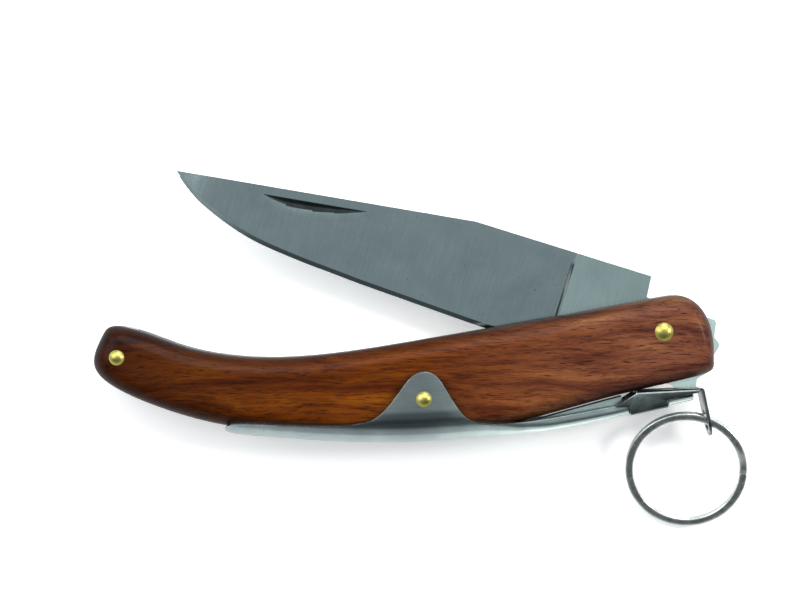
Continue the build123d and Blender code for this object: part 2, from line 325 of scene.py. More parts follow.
def grime_and_shade_group():
    """Painted shade from occlusion where two pieces meet, with a grimy dark layer, thinned by a patchy
    wipe.
    """
    tree, into, out = group(
        "grime_and_painted_shade",
        [("Reach", "NodeSocketFloat", 0.0008), ("Amount", "NodeSocketFloat", 1.0)],
        [("Grime And Shade", "NodeSocketFloat")])
    shut = node(tree, "ShaderNodeAmbientOcclusion", {"Distance": into.outputs["Reach"]})
    shut.samples = 6
    grime_shade = math_node(tree, "SUBTRACT", 1.0, shut.outputs["AO"])
    coords = node(tree, "ShaderNodeTexCoord").outputs["Object"]
    patch = noise_at(tree, coords, (0, 0, 0), (900, 900, 900), 3.0, 0.6)
    patch = math_node(tree, "MULTIPLY", patch, 1.7)
    grime_shade = math_node(tree, "MULTIPLY", grime_shade, patch)
    grime_shade = math_node(tree, "MULTIPLY", grime_shade, into.outputs["Amount"], clamp=True)
    tree.links.new(grime_shade, out.inputs["Grime And Shade"])
    return tree


def wood_grain_group():
    """Long figure, dark streaks and open pores running along X."""
    tree, into, out = group(
        "wood_grain",
        [("Figure Count", "NodeSocketFloat", 1.0), ("Drift", "NodeSocketFloat", 0.0)],
        [("Figure", "NodeSocketFloat"), ("Streaks", "NodeSocketFloat"),
         ("Pores", "NodeSocketFloat"), ("Fibre", "NodeSocketFloat")])
    raw = node(tree, "ShaderNodeTexCoord").outputs["Object"]
    turn = node(tree, "ShaderNodeVectorRotate", {"Vector": raw, "Angle": into.outputs["Drift"]})
    turn.rotation_type = "Z_AXIS"
    wave = noise_at(tree, turn.outputs[0], (0, 0, 0), (26, 60, 60), 2.0, 0.5)
    lift = math_node(tree, "MULTIPLY", math_node(tree, "SUBTRACT", wave, 0.5), 0.006)
    shift = node(tree, "ShaderNodeCombineXYZ", {"Y": lift, "Z": lift})
    bent = node(tree, "ShaderNodeVectorMath", {0: turn.outputs[0], 1: shift.outputs[0]})
    bent.operation = "ADD"
    dense = scaled(tree, bent.outputs[0], into.outputs["Figure Count"])
    figure = noise_at(tree, dense, (0, 0, 0), (28, 260, 260), 5.0, 0.6, 0.35)
    tree.links.new(figure, out.inputs["Figure"])
    streak = noise_at(tree, bent.outputs[0], (0, 0, 0.03), (150, 1900, 1500), 6.0, 0.70, 0.25)
    tree.links.new(streak, out.inputs["Streaks"])
    pore = noise_at(tree, bent.outputs[0], (0, 0, -0.03), (330, 4200, 3200), 2.0, 0.5)
    pore = math_node(tree, "SUBTRACT", pore, 0.60)
    pore = math_node(tree, "MULTIPLY", pore, 11.0, clamp=True)
    tree.links.new(pore, out.inputs["Pores"])
    fibre = noise_at(tree, bent.outputs[0], (0, 0, 0), (420, 9000, 9000), 3.0, 0.6)
    tree.links.new(fibre, out.inputs["Fibre"])
    return tree


STEEL_FINISH = steel_finish_group()
EDGE_WEAR = edge_wear_group()
GRIME_AND_SHADE = grime_and_shade_group()
WOOD_GRAIN = wood_grain_group()


def placed(tree, which, **values):
    n = tree.nodes.new("ShaderNodeGroup")
    n.node_tree = which
    for key, v in values.items():
        n.inputs[key.replace("_", " ")].default_value = v
    return n


def new_material(name):
    m = bpy.data.materials.new(name)
    m.use_nodes = True
    return m, m.node_tree, m.node_tree.nodes["Principled BSDF"]


def bump(tree, shader, height, strength, distance):
    b = node(tree, "ShaderNodeBump", {"Height": height})
    b.inputs["Strength"].default_value = strength
    b.inputs["Distance"].default_value = distance
    tree.links.new(b.outputs[0], shader.inputs["Normal"])


WORN_RIM = (0.80, 0.81, 0.82)
# colour of the painted shade in the plunge step
PLUNGE_SHADE = (0.035, 0.04, 0.042)
TANG_END = (0.0212, 0.0208)
TEETH_FROM = (0.004, 0.001)
PLUNGE_CORNER = 0.0211
PLUNGE_SHADE_WIDE = (0.00042, 0.00028)
PLUNGE_SHADE_TOP = (-0.0085, -0.0075)
# span over which the painted sheen on the spring arm comes in
ARM_ROOT, ARM_FULLY_LIT = 0.048, 0.026
# where the painted dark reflection along the saddle's bend lies
BEND_DROP = 0.0147
BEND_WIDE = (0.0015, 0.0006)
EAR_MIDDLE = 0.0505
EAR_REACH = (0.012, 0.006)
BEND_SHADE = (0.060, 0.078, 0.090)


def along_blade(tree):
    """Place on the blade: X from the pivot to the tip, Y from spine to edge."""
    coords = node(tree, "ShaderNodeTexCoord").outputs["Object"]
    turn = node(tree, "ShaderNodeVectorRotate", {"Vector": coords})
    turn.rotation_type = "Z_AXIS"
    turn.inputs["Angle"].default_value = -BLADE_ANGLE
    return node(tree, "ShaderNodeSeparateXYZ", {0: turn.outputs[0]})


def paint_tang_light(tree, colour):
    """The tang is painted lighter than the blade, and its teeth much lighter again as a painted
    highlight.
    """
    place = along_blade(tree)
    back = between(tree, place.outputs["X"], *TANG_END)
    teeth = between(tree, place.outputs["X"], *TEETH_FROM)
    lighter = mixed(tree, 1.0, colour, (1.38, 1.42, 1.36), "MULTIPLY")
    colour = mixed(tree, back, colour, lighter)
    brighter = mixed(tree, 1.0, colour, (2.35, 2.25, 2.15), "MULTIPLY")
    colour = mixed(tree, teeth, colour, brighter)
    return colour


def paint_plunge_shade(tree, colour):
    """Painted shade in the corner of the plunge line, which stops short of the spine."""
    place = along_blade(tree)
    off = math_node(tree, "ABSOLUTE", math_node(tree, "SUBTRACT", place.outputs["X"], PLUNGE_CORNER))
    line = between(tree, off, *PLUNGE_SHADE_WIDE)
    below = between(tree, place.outputs["Y"], *PLUNGE_SHADE_TOP)
    shade_mask = math_node(tree, "MULTIPLY", line, below)
    shade_mask = math_node(tree, "MULTIPLY", shade_mask, 0.9)
    return mixed(tree, shade_mask, colour, PLUNGE_SHADE)


def paint_spring_light(tree, colour):
    """The arm is painted lighter as a painted sheen; a painted dark reflection lies along the bend of
    the saddle.
    """
    coords = node(tree, "ShaderNodeTexCoord").outputs["Object"]
    place = node(tree, "ShaderNodeSeparateXYZ", {0: coords})
    arm = between(tree, place.outputs["X"], PIVOT.x - ARM_ROOT, PIVOT.x - ARM_FULLY_LIT)
    lit_arm = mixed(tree, 1.0, colour, (2.1, 2.15, 2.05), "MULTIPLY")
    colour = mixed(tree, arm, colour, lit_arm)
    off = math_node(tree, "SUBTRACT", place.outputs["Y"], PIVOT.y - BEND_DROP)
    line = between(tree, math_node(tree, "ABSOLUTE", off), *BEND_WIDE)
    across = math_node(tree, "SUBTRACT", place.outputs["X"], PIVOT.x - EAR_MIDDLE)
    across = math_node(tree, "ABSOLUTE", across)
    near = between(tree, across, *EAR_REACH)
    band = math_node(tree, "MULTIPLY", line, near)
    return mixed(tree, math_node(tree, "MULTIPLY", band, 0.8), colour, BEND_SHADE)


def steel(name, dark, light, rough, spread, direction=0.0, lines=1.0, mottle=1.0,
          wear=0.8, grime_shade=0.6, relief=0.1, tang=False, spring=False):
    """Bare metal: mottled colour, directional lines, brighter rims, and a grimy layer with painted shade
    in corners; on the blade and spring, painted light as well.
    """
    m, tree, shader = new_material(name)
    shader.inputs["Metallic"].default_value = 1.0
    f = placed(tree, STEEL_FINISH, Direction=direction, Line_Count=lines, Mottle_Count=mottle)
    w = placed(tree, EDGE_WEAR, Width=0.00035, Amount=wear)
    g = placed(tree, GRIME_AND_SHADE, Reach=0.0012, Amount=grime_shade)
    colour = ramp(tree, f.outputs["Mottle"], [(0.30, dark), (0.72, light)])
    streaked = ramp(tree, f.outputs["Lines"], [(0.30, grey(0.88)), (0.70, grey(1.0))])
    colour = mixed(tree, 1.0, colour, streaked, "MULTIPLY")
    colour = mixed(tree, f.outputs["Scratches"], colour, light)
    colour = mixed(tree, f.outputs["Specks"], colour, tuple(c * 0.55 for c in dark))
    # painted light: the tang painted lighter and its teeth lighter again
    if tang:
        colour = paint_tang_light(tree, colour)
    # painted sheen on the spring arm and a painted dark reflection along the saddle's bend
    if spring:
        colour = paint_spring_light(tree, colour)
    colour = mixed(tree, w.outputs["Rim"], colour, WORN_RIM)
    # painted shade along the plunge step
    if tang:
        colour = paint_plunge_shade(tree, colour)
    # a grimy layer and painted shade darken the metal where pieces meet
    colour = mixed(tree, g.outputs["Grime And Shade"], colour, tuple(c * 0.16 for c in dark))
    tree.links.new(colour, shader.inputs["Base Color"])
    r = math_node(tree, "MULTIPLY", f.outputs["Lines"], spread)
    r = math_node(tree, "ADD", r, rough - spread * 0.5)
    r = math_node(tree, "ADD", r, math_node(tree, "MULTIPLY", f.outputs["Mottle"], spread * 0.6))
    r = math_node(tree, "ADD", r, math_node(tree, "MULTIPLY", g.outputs["Grime And Shade"], 0.3), clamp=True)
    tree.links.new(r, shader.inputs["Roughness"])
    h = math_node(tree, "SUBTRACT", f.outputs["Lines"], f.outputs["Scratches"])
    bump(tree, shader, h, relief, 0.00002)
    return m


def brass(name):
    """Hand-closed brass heads: warm, faintly dimpled, darker at the foot from a grimy layer and painted
    shade.
    """
    m, tree, shader = new_material(name)
    shader.inputs["Metallic"].default_value = 1.0
    f = placed(tree, STEEL_FINISH, Direction=0.7, Line_Count=1.4, Mottle_Count=3.0)
    g = placed(tree, GRIME_AND_SHADE, Reach=0.0007, Amount=1.3)
    colour = ramp(tree, f.outputs["Mottle"], [(0.3, (0.30, 0.26, 0.06)), (0.7, (0.50, 0.46, 0.14))])
    colour = mixed(tree, f.outputs["Scratches"], colour, (0.90, 0.78, 0.45))
    # a grimy layer and painted shade darken the heads at the foot
    colour = mixed(tree, g.outputs["Grime And Shade"], colour, (0.035, 0.022, 0.008))
    tree.links.new(colour, shader.inputs["Base Color"])
    r = math_node(tree, "MULTIPLY", f.outputs["Mottle"], 0.22)
    r = math_node(tree, "ADD", r, 0.24)
    tree.links.new(r, shader.inputs["Roughness"])
    bump(tree, shader, f.outputs["Mottle"], 0.35, 0.00008)
    return m


def varnished_wood(name, drift, count):
    """Red-brown hardwood under a clear varnish, painted darker round its edges as painted shade."""
    m, tree, shader = new_material(name)
    w = placed(tree, WOOD_GRAIN, Figure_Count=count, Drift=drift)
    base = ramp(tree, w.outputs["Figure"], [
        (0.28, (0.040, 0.0095, 0.0030)), (0.42, (0.115, 0.030, 0.0060)),
        (0.54, (0.185, 0.056, 0.0090)), (0.70, (0.290, 0.105, 0.0150))])
    dark = ramp(tree, w.outputs["Streaks"], [(0.36, grey(0.34)), (0.50, grey(1.0))])
    base = mixed(tree, 0.85, base, dark, "MULTIPLY")
    fibre = ramp(tree, w.outputs["Fibre"], [(0.3, grey(0.62)), (0.7, grey(1.18))])
    base = mixed(tree, 0.7, base, fibre, "MULTIPLY")
    pores = math_node(tree, "MULTIPLY", w.outputs["Pores"], 0.85)
    base = mixed(tree, pores, base, (0.010, 0.003, 0.0015))
    coords = node(tree, "ShaderNodeTexCoord").outputs["Object"]
    place = node(tree, "ShaderNodeSeparateXYZ", {0: coords})
    # the tail is dark brown and the middle orange brown; the pivot end is painted lighter and greyer as
    # a painted sheen
    tail = between(tree, place.outputs["X"], PIVOT.x - 0.112, PIVOT.x - 0.066)
    tint = mixed(tree, tail, (0.20, 0.12, 0.075), (0.66, 0.48, 0.11))
    head = between(tree, place.outputs["X"], PIVOT.x - 0.050, PIVOT.x)
    tint = mixed(tree, head, tint, (1.08, 1.26, 3.6))
    base = mixed(tree, 1.0, base, tint, "MULTIPLY")
    # painted shade on the rounding, darker away from the flat faces
    height = math_node(tree, "ABSOLUTE", math_node(tree, "SUBTRACT", place.outputs["Z"], PIVOT.z))
    flat = between(tree, height, 0.0032, 0.0066)
    rounding_shade = ramp(tree, flat, [(0.0, grey(0.20)), (0.7, grey(0.55)), (1.0, grey(1.0))])
    base = mixed(tree, 1.0, base, rounding_shade, "MULTIPLY")
    # a grimy layer and painted shade darken the wood where other pieces meet it
    g = placed(tree, GRIME_AND_SHADE, Reach=0.0016, Amount=0.85)
    base = mixed(tree, g.outputs["Grime And Shade"], base, (0.006, 0.003, 0.002))
    tree.links.new(base, shader.inputs["Base Color"])
    r = math_node(tree, "MULTIPLY", w.outputs["Streaks"], 0.25)
    r = math_node(tree, "ADD", r, 0.34)
    tree.links.new(r, shader.inputs["Roughness"])
    shader.inputs["Specular IOR Level"].default_value = 0.03
    shader.inputs["Coat Weight"].default_value = 0.17
    shader.inputs["Coat Roughness"].default_value = 0.18
    shader.inputs["Coat IOR"].default_value = 1.36
    h = math_node(tree, "SUBTRACT", math_node(tree, "MULTIPLY", w.outputs["Fibre"], 0.4),
                  w.outputs["Pores"])
    bump(tree, shader, h, 0.28, 0.00006)
    return m


BLADE_STEEL = steel("blade_steel", (0.245, 0.312, 0.322), (0.295, 0.370, 0.380), 0.20, 0.06,
                    direction=-BLADE_ANGLE, mottle=0.55, wear=0.06, grime_shade=0.4, relief=0.04,
                    tang=True)
SPRING_STEEL = steel("spring_steel", (0.205, 0.250, 0.252), (0.285, 0.335, 0.336), 0.20, 0.08,
                     direction=math.pi / 2, lines=1.2, mottle=0.8, wear=0.75, grime_shade=0.9, relief=0.06,
                     spring=True)
LEVER_STEEL = steel("lever_steel", (0.062, 0.080, 0.077), (0.155, 0.182, 0.176), 0.20, 0.10,
                    direction=math.pi / 2, lines=1.6, mottle=1.6, wear=0.9, grime_shade=1.0, relief=0.08)
# the nick's dark colour is painted shade in the recess
NICK_SHADE_STEEL = steel("nick_painted_shade", (0.020, 0.026, 0.027), (0.040, 0.050, 0.050), 0.34, 0.06,
                   direction=-BLADE_ANGLE, lines=1.6, wear=0.1, grime_shade=0.5, relief=0.05)
LINER_STEEL = steel("liner_steel", (0.13, 0.14, 0.14), (0.24, 0.25, 0.25), 0.34, 0.12,
                    direction=math.pi / 2, wear=0.5, grime_shade=1.0)
RING_NICKEL = steel("ring_nickel", (0.42, 0.45, 0.43), (0.76, 0.79, 0.77), 0.22, 0.10,
                    direction=0.4, mottle=2.6, wear=0.7, grime_shade=1.1, relief=0.08)
BRASS = brass("pin_brass")
FRONT_WOOD = varnished_wood("front_wood", 0.035, 1.0)
REAR_WOOD = varnished_wood("rear_wood", -0.03, 0.9)

for name, material in {
    "front_scale": FRONT_WOOD, "rear_scale": REAR_WOOD,
    "front_liner": LINER_STEEL, "rear_liner": LINER_STEEL, "back_spacer": LINER_STEEL,
    "front_washer": BRASS, "rear_washer": BRASS,
    "pivot_pin": BRASS, "tail_pin": BRASS, "saddle_rivet": BRASS,
    "split_ring": RING_NICKEL, "pull_lever": LEVER_STEEL,
    "back_spring": SPRING_STEEL, "spring_arm": SPRING_STEEL, "blade": BLADE_STEEL,
}.items():
    mesh = frame["nodes"][name].data
    mesh.materials.clear()
    mesh.materials.append(material)


# ---------------------------------------------------------------- blade
SPINE = 10.2
TIP = (103.9, -2.0)
KINK = 42.5
PLUNGE = 21.0
HALF = 1.2
BEVEL = 0.9
EDGE = [(21.0, 10.1), (35.0, 9.95), (44.0, 9.65), (52.6, 9.3), (61.3, 8.95), (67.8, 8.55),
        (74.3, 8.15), (83.2, 7.2), (87.7, 6.25), (92.5, 4.75), (97.4, 2.75), (100.2, 1.1),
        (102.6, -0.7), TIP]
NICK = (64.4, 78.2, 85.6)
NICK_TOP = 1.75
NICK_WIDE = 2.45
NICK_DEEP = 0.20
NICK_WALL = 0.36
NICK_DARK = 0.98
NICK_FADE = 0.45
NICK_LEAST = 0.12
NICK_ROWS = (0, 0.06, 0.12, 0.2, 0.28, 0.36, 0.47, 0.58, 0.70, 0.8, 0.9, 1.0)
TOOTH_TIP = 13.6
TOOTH_DEEP = 1.5
TOOTH_FALLS = (0.0, 0.35, 1.1, 2.0)
TOOTH_FIRST = 139
TOOTH_LEAN = 6
TOOTH_STEP = 23
NOTCH_R = 7.2
NOTCH_FROM = 222


def spine_at(u):
    if u <= KINK:
        return -SPINE
    return -SPINE + (u - KINK) / (TIP[0] - KINK) * (TIP[1] + SPINE)


def edge_at(u):
    if u <= PLUNGE:
        return 9.7 + (u + 4.6) / (PLUNGE + 4.6) * 0.4
    return through(EDGE, u)


def nick_span(u):
    """Depth share and width of the nail nick at u."""
    left, middle, right = NICK
    if not left < u < right:
        return 0.0, NICK_LEAST
    t = (u - middle) / ((right if u > middle else left) - middle)
    full = 1 - t * t
    return full, max(NICK_LEAST, NICK_WIDE * full)


def nick_depth(u, down):
    """How far the nail nick goes into the face, down from the spine."""
    full, wide = nick_span(u)
    t = (down - NICK_TOP) / wide
    if full <= 0 or not 0 < t < 1:
        return 0.0
    deep = NICK_DEEP * full
    if t < NICK_WALL:
        return deep * eased(t / NICK_WALL)
    return deep * (1 - t) / (1 - NICK_WALL)


def in_shaded_nick(u, down):
    """The wall and floor of the nick are painted dark as painted shade, less so toward the tip."""
    full, wide = nick_span(u)
    along = (u - NICK[0]) / (NICK[2] - NICK[0])
    return full > 0.03 and 0 < (down - NICK_TOP) / wide < NICK_DARK - NICK_FADE * along


def half_thickness(u, v):
    worn = 0.049 * max(0.0, v + 9.2) * eased((u - PLUNGE) / 0.4)
    z = HALF - worn
    line = max(0.0, 1 - abs(u - PLUNGE - 0.05) / 0.22) * eased((v + 6.5) / 1.0)
    z -= 0.10 * line
    near_tip = eased((TIP[0] - u) / 9.0)
    return z * (0.45 + 0.55 * near_tip)


def blade_rows(u):
    """Points across the blade from spine to edge, fine where the nick lies."""
    a, b = spine_at(u), edge_at(u)
    wide = b - a
    q = min(1.0, max(0.0, wide - 1.0) / 8.0)
    span = nick_span(u)[1]
    near = [0, 0.35, 0.8, 1.3, 1.6]
    near += [NICK_TOP + span * t for t in NICK_ROWS]
    downs = [d * q for d in near]
    last = wide - min(BEVEL, wide * 0.35)
    start = downs[-1]
    downs += [start + (last - start) * k / 10 for k in range(1, 11)]
    downs += [wide - min(BEVEL, wide * 0.35) * 0.5, wide]
    return [(u, a + d, d) for d in downs]


def blade_side(u, v, down, row, count, front):
    z = half_thickness(u, v)
    ground = eased((u - PLUNGE) / 0.4)
    if row == count - 1:
        z = z * (1 - ground) + 0.04 * ground
    elif row == count - 2:
        z = z * (1 - ground) + (z * 0.5 + 0.02) * ground
    if front:
        z -= nick_depth(u, down)
    return z if front else -z


def blade_columns():
    us = [5.1, 9.0, 13.0, 17.0, 19.5, 20.5, 20.8, 20.95, 21.05, 21.2, 21.35, 21.5, 22.0]
    us += [24 + 2 * k for k in range(9)] + [41.5, 42.5, 43.5]
    us += [46 + 2 * k for k in range(9)]
    us += [63.5 + 0.5 * k for k in range(47)]
    us += [88.0, 90.0, 92.0, 94.0, 96.0, 98.0, 99.5, 101.0, 102.0, 102.8, 103.4, 103.75]
    return us




def tooth(radius, degrees):
    a = math.radians(degrees)
    return (radius * math.cos(a), radius * math.sin(a))


def tang_run():
    """Heel line, four teeth, opening notch and ledge, ending at the shoulder."""
    run = [(-4.6, 9.7), tooth(12.0, 124)]
    for i, fall in enumerate(TOOTH_FALLS):
        tip = TOOTH_TIP - fall
        at = TOOTH_FIRST + TOOTH_STEP * i
        run += [tooth(tip, at), tooth(tip - TOOTH_DEEP, at + TOOTH_LEAN)]
    run = rounded([(5.1, edge_at(5.1))] + run + [tooth(NOTCH_R, NOTCH_FROM)], 0.55)
    run += [tooth(NOTCH_R, NOTCH_FROM + 8 * k) for k in range(1, 8)]
    run += [(3.4, -5.7), (4.75, -5.9)]
    return run[1:]


def blade_faces(bm, front):
    made = []
    for u in blade_columns():
        rows = blade_rows(u)
        column = []
        for k, (a, v, down) in enumerate(rows):
            z = blade_side(u, v, down, k, len(rows), front)
            column.append(bm.verts.new((a * MM, v * MM, z * MM)))
        made.append(column)
    columns = blade_columns()
    for i, (a, b) in enumerate(zip(made, made[1:])):
        middle = (columns[i] + columns[i + 1]) / 2
        rows = blade_rows(middle)
        for j in range(len(a) - 1):
            face = bm.faces.new([a[j], b[j], b[j + 1], a[j + 1]])
            down = (rows[j][2] + rows[j + 1][2]) / 2
            # faces inside the nick take the painted-shade material
            face.material_index = 1 if front and in_shaded_nick(middle, down) else 0
    z = half_thickness(*TIP) * 0.5
    tip = bm.verts.new((TIP[0] * MM, TIP[1] * MM, (z if front else -z) * MM))
    last = made[-1]
    for j in range(len(last) - 1):
        bm.faces.new([last[j], tip, last[j + 1]])
    side = HALF if front else -HALF
    tang = [bm.verts.new((u * MM, v * MM, side * MM)) for u, v in tang_run()]
    bm.faces.new(made[0] + tang)
    rim = [c[0] for c in made] + [tip] + [c[-1] for c in reversed(made)] + tang
    return rim


def make_blade():
    bm = bmesh.new()
    front = blade_faces(bm, True)
    back = blade_faces(bm, False)
    n = len(front)
    for i in range(n):
        j = (i + 1) % n
        bm.faces.new([front[i], front[j], back[j], back[i]])
    turn_cos, turn_sin = math.cos(BLADE_ANGLE), math.sin(BLADE_ANGLE)
    for v in bm.verts:
        x, y, z = v.co
        v.co = (x * turn_cos - y * turn_sin, x * turn_sin + y * turn_cos, z)
    obj = piece("blade_ground", bm, BLADE_STEEL, weld=0.000001, offset=PIVOT)
    obj.data.materials.append(NICK_SHADE_STEEL)
    broken_edges(obj, "soft_rims", 0.00012, 2, 60)
    settle(obj, 14)
    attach(obj, "blade")
    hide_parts("blade")
    return obj


make_blade()

# ---------------------------------------------------------------- back spring
SHEET = 1.38
TONGUE_SHARE = 0.68
FEET_SPAN = (-7.45, 0.65)
FEET_RELIEF = 0.5
SPRING_BACK = [(-89.2, -16.0), (-88.0, -16.45), (-84.0, -17.1), (-78.3, -17.85), (-71.0, -18.7),
               (-64.0, -19.35), (-57.0, -19.8), (-50.0, -20.0), (-43.0, -19.85), (-36.0, -19.6),
               (-29.6, -19.2), (-22.0, -18.6), (-13.0, -17.45), (-8.0, -16.55), (-4.0, -15.86),
               (0.0, -15.18), (5.7, -14.2)]
SPRING_LIP = [(-89.2, -15.3), (-88.2, -14.7), (-84.0, -14.75), (-76.0, -15.3), (-66.0, -15.8),
              (-62.4, -15.55), (-59.2, -14.8), (-56.8, -13.1), (-54.6, -10.7), (-51.8, -7.25),
              (-50.2, -6.05), (-48.6, -5.7), (-47.0, -6.05), (-45.5, -7.4), (-43.6, -10.8),
              (-42.0, -13.5), (-40.6, -15.2), (-38.6, -16.3), (-36.0, -16.75), (-33.0, -16.95),
              (-27.4, -16.7), (-20.0, -15.95), (-11.0, -14.75), (-5.0, -14.2), (2.0, -13.7),
              (5.7, -13.3)]
HALF_WIDE = [(-89.2, 7.4), (-88.0, 8.0), (-86.0, 8.15), (-40.0, 8.15), (-36.0, 7.9),
             (-30.0, 6.4), (-20.0, 4.9), (-12.0, 4.0), (5.7, 4.0)]
CORNER = [(-89.2, 5.4), (-40.0, 5.4), (-36.0, 4.9), (-30.0, 2.4), (-24.0, 1.6), (5.7, 1.5)]


def line_at(stations, x):
    for (x0, y0), (x1, y1) in zip(stations, stations[1:]):
        if x <= x1:
            t = max(0.0, (x - x0) / (x1 - x0))
            return y0 + (y1 - y0) * t
    return stations[-1][1]


def spring_low(x):
    """Back of the strip at x, cut away where the lever's feet pass under it."""
    lift = FEET_RELIEF if FEET_SPAN[0] < x < FEET_SPAN[1] else 0.0
    return through(SPRING_BACK, x) + lift


def wrap_point(x, s):
    """Point s along the skin from the middle of the back round to the front face."""
    low = spring_low(x)
    wide = line_at(HALF_WIDE, x)
    r = line_at(CORNER, x)
    flat = wide - r
    if s <= flat:
        return spot(x, low, s)
    a = (s - flat) / r
    if a <= math.pi / 2:
        return spot(x, low + r * (1 - math.cos(a)), flat + r * math.sin(a))
    return spot(x, low + r + (s - flat - r * math.pi / 2), wide)


def wrap_length(x):
    """Skin length from the middle of the back to the lip."""
    rise = through(SPRING_LIP, x) - spring_low(x)
    wide = line_at(HALF_WIDE, x)
    r = line_at(CORNER, x)
    if rise < r:
        return wide - r + r * math.acos(1 - rise / r)
    return wide - r + r * math.pi / 2 + rise - r


RIB_TOP = [(-31.0, -17.6), (-26.0, -16.55), (-22.5, -15.75), (-15.0, -14.05), (-8.6, -12.65)]
RIB_HALF = 1.35
RIB_FROM = -31.0
RIB_LONG = 22.4
RIB_STEPS = 24
RIB_ROOT = 0.6
RIB_CHAMFER = 0.18
WINDOW = (-0.01, 4.15)


def add_rib(obj):
    """Middle rib of the free arm, just under the handle, closing the slot."""
    bm = bmesh.new()
    bm.from_mesh(obj.data)
    rings = []
    for k in range(RIB_STEPS + 1):
        x = RIB_FROM + RIB_LONG * k / RIB_STEPS
        top = through(RIB_TOP, x)
        low = spring_low(x) + RIB_ROOT
        c = RIB_CHAMFER
        ring = [(low, RIB_HALF), (top - c, RIB_HALF), (top, RIB_HALF - c),
                (top, -RIB_HALF + c), (top - c, -RIB_HALF), (low, -RIB_HALF)]
        rings.append([bm.verts.new(spot(x, y, z)) for y, z in ring])
    n = len(rings[0])
    made = []
    for a, b in zip(rings, rings[1:]):
        made += [bm.faces.new([a[j], b[j], b[(j + 1) % n], a[(j + 1) % n]]) for j in range(n)]
    made += [bm.faces.new(rings[0]), bm.faces.new(list(reversed(rings[-1])))]
    bmesh.ops.recalc_face_normals(bm, faces=made)
    bm.to_mesh(obj.data)
    bm.free()
    shade(obj.data, 30)


def make_spring():
    xs = [-89.2, -88.9, -88.5, -88.0, -87.0, -85.0]
    xs += [-83.0 + 2 * k for k in range(9)]
    xs += [-65.5 + 0.5 * k for k in range(61)]
    xs += [-34.0 + k for k in range(1, 27)] + [-7.5, -7.4]
    xs += [-7.0 + k for k in range(1, 7)] + [0.0, 0.6, 0.7, 1.4, 2.8, 4.2, 5.0, 5.5, 5.7]
    columns = []
    for x in xs:
        full = wrap_length(x)
        steps = [0.0, 0.85, 1.7] + [1.7 + (full - 1.7) * k / 20 for k in range(1, 21)]
        half = [wrap_point(x, s) for s in steps]
        other = [Vector((p.x, p.y, 2 * PIVOT.z - p.z)) for p in half[1:]]
        columns.append(list(reversed(other)) + half)
    middle = 22

    def window(i, j):
        return WINDOW[0] <= xs[i] < WINDOW[1] and middle - 2 <= j < middle + 2

    bm = bmesh.new()
    grid(bm, columns, skip=window)
    obj = piece("back_spring_strip", bm, SPRING_STEEL)
    full = obj.vertex_groups.new(name="full_sheet")
    for v in obj.data.vertices:
        along = (v.co.x - PIVOT.x) / MM
        full.add([v.index], 1 - eased((along + 30) / 18), "REPLACE")
    wall = obj.modifiers.new("sheet", "SOLIDIFY")
    wall.thickness = SHEET * MM
    wall.offset = -1.0
    wall.vertex_group = "full_sheet"
    wall.thickness_vertex_group = TONGUE_SHARE
    broken_edges(obj, "soft_rims", 0.00016, 3, 50)
    settle(obj, 30)
    add_rib(obj)
    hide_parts("back_spring", "spring_arm")
    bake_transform(obj)
    return obj


make_spring()

# ---------------------------------------------------------------- pull lever
LEVER_T = 0.6
WEB_Y = -12.05
FLAP_Z = 4.55
TAB_TOP = (7.75, WEB_Y)
TAB_TILT = math.radians(9.0)
TAB_HALF = 3.3
TAB_EYE = 6.5
EYE_R = 2.1
EYE_STEPS = 32
FOOT_FROM, FOOT_TO = -7.2, 0.4
FOOT_GAP = 0.1
FOOT_INNER = 1.6
SLOT_HALF = 1.7
HEEL_X = -5.6
BEND_X = 6.85


def under_tongue(x, lift=0.0):
    """Underside of the spring tongue at x."""
    return -14.2 - 0.1715 * (5.7 - x) + lift


def tab_point(drop, z):
    return spot(TAB_TOP[0] + drop * math.sin(TAB_TILT), TAB_TOP[1] - drop * math.cos(TAB_TILT), z)


